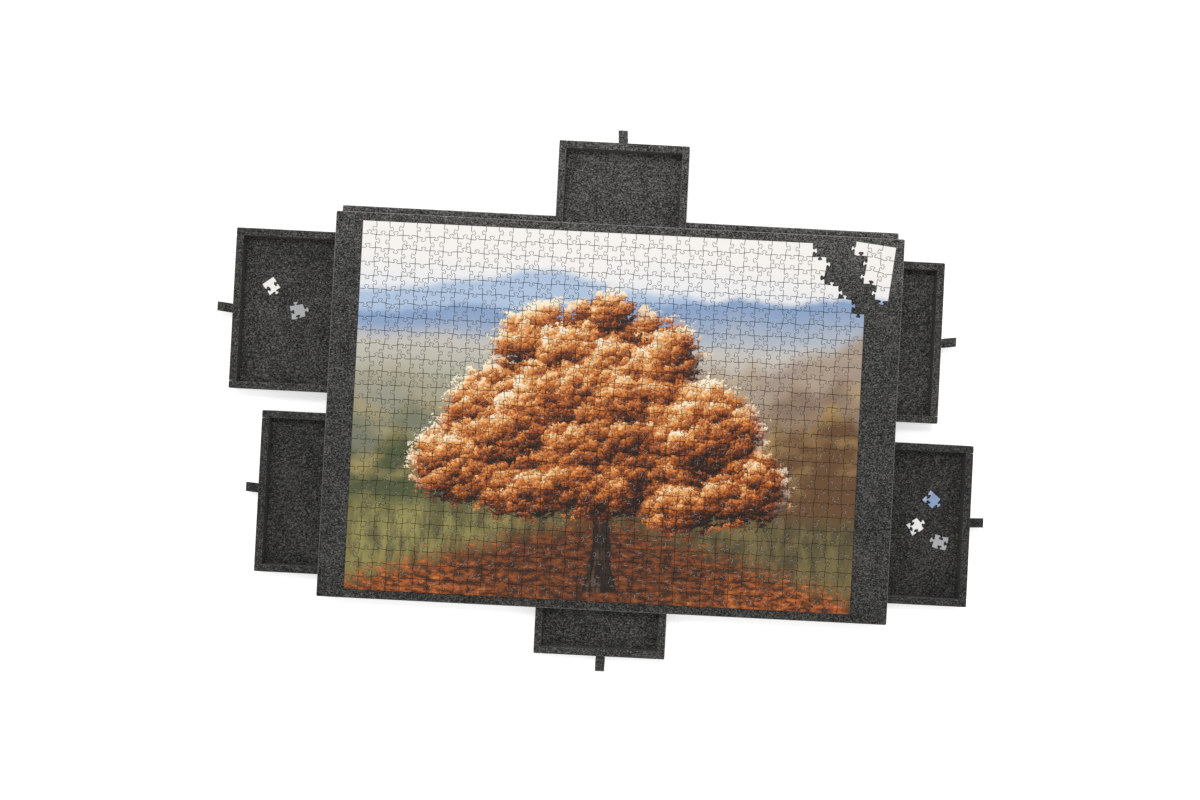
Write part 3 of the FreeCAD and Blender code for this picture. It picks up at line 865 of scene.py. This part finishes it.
def gridPoint(row, column):
    j = jigsaw
    x = (column - j["columns"] / 2) * j["pitch"] - j["left"]
    y = (j["rows"] / 2 - row) * j["pitch"] + j["rear"]
    if 0 < column < j["columns"]:
        x += j["wander"] * math.sin(5.1 * row + 2.3 * column)
    if 0 < row < j["rows"]:
        y += j["wander"] * math.sin(1.7 * row + 4.3 * column)
    return Vector((x, y))


def knobOnLine(length, side, seed, fine):
    # a straight line along X with a knob on it, as (point, normal)
    j = jigsaw
    middle = length / 2 + j["stray"] * math.sin(seed)
    size = j["knobSize"] + j["vary"] * math.sin(seed * 1.7 + 1)
    skew = j["skew"] * math.sin(seed * 2.3 + 2)
    knob = []
    for point, normal in fineKnob if fine else roughKnob:
        spot = Vector((point.x + skew * point.y, side * point.y)) * size + Vector((middle, 0))
        knob.append((spot, Vector((side * normal.x, normal.y - skew * normal.x))))
    before = knob[0][0].x
    after = length - knob[-1][0].x
    shares = (0, 1 / 3, 2 / 3) if fine else (0, 1 / 2)
    places = [before * share for share in shares]
    places += [length - after * share for share in reversed(shares)]
    flat = [(Vector((place, 0)), Vector((0, 1))) for place in places]
    return flat[:len(shares)] + knob + flat[len(shares):]


def cutLine(start, finish, side, seed, fine):
    # the cut between two grid points as (point, normal, glint): it bows and waves
    along = (finish - start).normalized()
    left = Vector((-along.y, along.x))
    if side == 0:
        return [(start, left, 0.0), (finish, left, 0.0)]
    length = (finish - start).length
    bow = jigsaw["bow"] * math.sin(seed * 1.3 + 4)
    wave = jigsaw["wave"] * math.sin(seed * 2.9 + 5)
    line = []
    for spot, normal in knobOnLine(length, side, seed, fine):
        t = spot.x / length * math.pi
        rise = bow * math.sin(t) + wave * math.sin(2 * t)
        slope = (bow * math.cos(t) + 2 * wave * math.cos(2 * t)) * math.pi / length
        normal = Vector((normal.x - slope * normal.y, normal.y)).normalized()
        glint = min(1.0, max(0.0, abs(spot.y) - jigsaw["glintFrom"]))
        line.append((start + along * spot.x + left * (spot.y + rise),
                     along * normal.x + left * normal.y, glint))
    return line


def rightCut(row, column, fine):
    side = 1 if math.sin(6.9 * row + 3.1 * column + 0.1 * row * column + 1.8) > 0 else -1
    if column in (0, jigsaw["columns"]):
        side = 0
    seed = 2.9 * row + 5.3 * column
    return cutLine(gridPoint(row - 1, column), gridPoint(row, column), side, seed, fine)


def frontCut(row, column, fine):
    side = -1 if math.sin(1.2 * row + 6.7 * column + 0.5 * row * column + 2.0) > 0 else 1
    if row in (0, jigsaw["rows"]):
        side = 0
    seed = 4.7 * row + 2.1 * column
    return cutLine(gridPoint(row, column - 1), gridPoint(row, column), side, seed, fine)


def backwards(line):
    return [(point, -normal, glint) for point, normal, glint in reversed(line)]


def pieceRing(row, column, fine):
    # clockwise ring of (point, outward normal, glint)
    lines = [frontCut(row - 1, column, fine), rightCut(row, column, fine),
             backwards(frontCut(row, column, fine)), backwards(rightCut(row, column - 1, fine))]
    ring = []
    for index, line in enumerate(lines):
        before, here = lines[index - 1][-1][1], line[0][1]
        ring.append((line[0][0], (before + here) / (1 + before.dot(here)), 0.0))
        ring += line[1:-1]
    return ring


def pieceSink(row, column):
    # how much lower than the highest a piece lies
    seed = math.sin(row * 12.9898 + column * 78.233) * 43758.5453
    return jigsaw["sink"] * (1 - seed + math.floor(seed))


def buildPieces(name, wanted, body, replaced, fine=True):
    # wanted is a list of (row, column, matrix)
    corners, faces, finishes, spots, glints = [], [], [], [], []
    j = jigsaw
    front = gridPoint(j["rows"], 0)
    height = j["pitch"] * j["rows"]
    picture, back, edge = range(3)
    for row, column, move in wanted:
        ring = pieceRing(row, column, fine)
        count = len(ring)
        first = len(corners)
        sink = pieceSink(row, column)
        # each level's share of the rim colour: wear, painted shade and painted highlight
        levels = [(0, 0, j["rimWearShadeAndGlint"]), (j["card"] - j["rimDrop"] - sink, 0, j["rimWearShadeAndGlint"]),
                  (j["card"] - sink, j["rimWidth"], 0.0)]
        for z, inset, rimWearShadeAndGlint in levels:
            for point, normal, glint in ring:
                flat = point - normal * (j["kerf"] / 2 + inset)
                corners.append(move @ Vector((flat.x, flat.y, z)) * mm)
                spots += [(flat.x - front.x) / height, (flat.y - front.y) / height, rimWearShadeAndGlint]
                glints.append(glint)
        faces.append([first + i for i in range(count)])
        finishes.append(back)
        faces.append([first + 2 * count + i for i in reversed(range(count))])
        finishes.append(picture)
        for level, finish in ((0, edge), (1, picture)):
            low = first + level * count
            for i in range(count):
                after = (i + 1) % count
                faces.append([low + after, low + i, low + count + i, low + count + after])
                finishes.append(finish)
    mesh = bpy.data.meshes.new(name)
    mesh.from_pydata(corners, [], faces)
    for finish in (pictureFinish, backFinish, edgeFinish):
        mesh.materials.append(finish)
    mesh.polygons.foreach_set("material_index", finishes)
    mesh.attributes.new("pictureSpot", "FLOAT_VECTOR", "POINT").data.foreach_set("vector", spots)
    mesh.attributes.new("glint", "FLOAT", "POINT").data.foreach_set("value", glints)
    mesh.update()
    piece = bpy.data.objects.new(name, mesh)
    bpy.context.scene.collection.objects.link(piece)
    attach(piece, body)
    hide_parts(replaced)
    return piece


def laidOut(firstColumn, lastColumn):
    rise = Matrix.Translation((0, 0, jigsaw["foot"]))
    wanted = []
    for row in range(1, jigsaw["rows"] + 1):
        last = laidColumns[row - 1] if row <= len(laidColumns) else jigsaw["columns"]
        for column in range(firstColumn, min(last, lastColumn) + 1):
            wanted.append((row, column, rise))
    return wanted


def moved(about, turn, place, faceDown=False):
    middle = Vector((0, 0, jigsaw["card"] / 2))
    over = Matrix.Rotation(math.pi, 4, "Y") if faceDown else Matrix.Identity(4)
    over = Matrix.Translation(middle) @ over @ Matrix.Translation(-middle)
    turned = Matrix.Rotation(math.radians(turn), 4, "Z")
    return Matrix.Translation(place) @ turned @ over @ Matrix.Translation(-about.to_3d())


buildPieces("jigsaw_pieces_left", laidOut(*leftHalf), "casing", "jigsaw_laid_part", fine=False)
buildPieces("jigsaw_pieces_right", laidOut(*rightHalf), "casing", "jigsaw_laid_part", fine=False)
rearRight = gridPoint(0, jigsaw["columns"])
cornerPlace = rearRight + Vector(cornerMove["shift"])
apart = moved(rearRight, cornerMove["turn"], Vector((*cornerPlace, jigsaw["foot"])))
buildPieces("jigsaw_pieces_corner", [(row, column, apart) for row, column in cornerPieces],
            "casing", "jigsaw_corner_part")
for drawer, lying in loosePieces.items():
    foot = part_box(drawer + "_loose_pieces")[0].z / mm
    wanted = []
    for (row, column), place, turn, faceDown in lying:
        middle = (gridPoint(row - 1, column - 1) + gridPoint(row, column)) / 2
        wanted.append((row, column, moved(middle, turn, Vector((*place, foot)), faceDown)))
    buildPieces(drawer + "_pieces", wanted, drawer, drawer + "_loose_pieces")
print("jigsaw made")
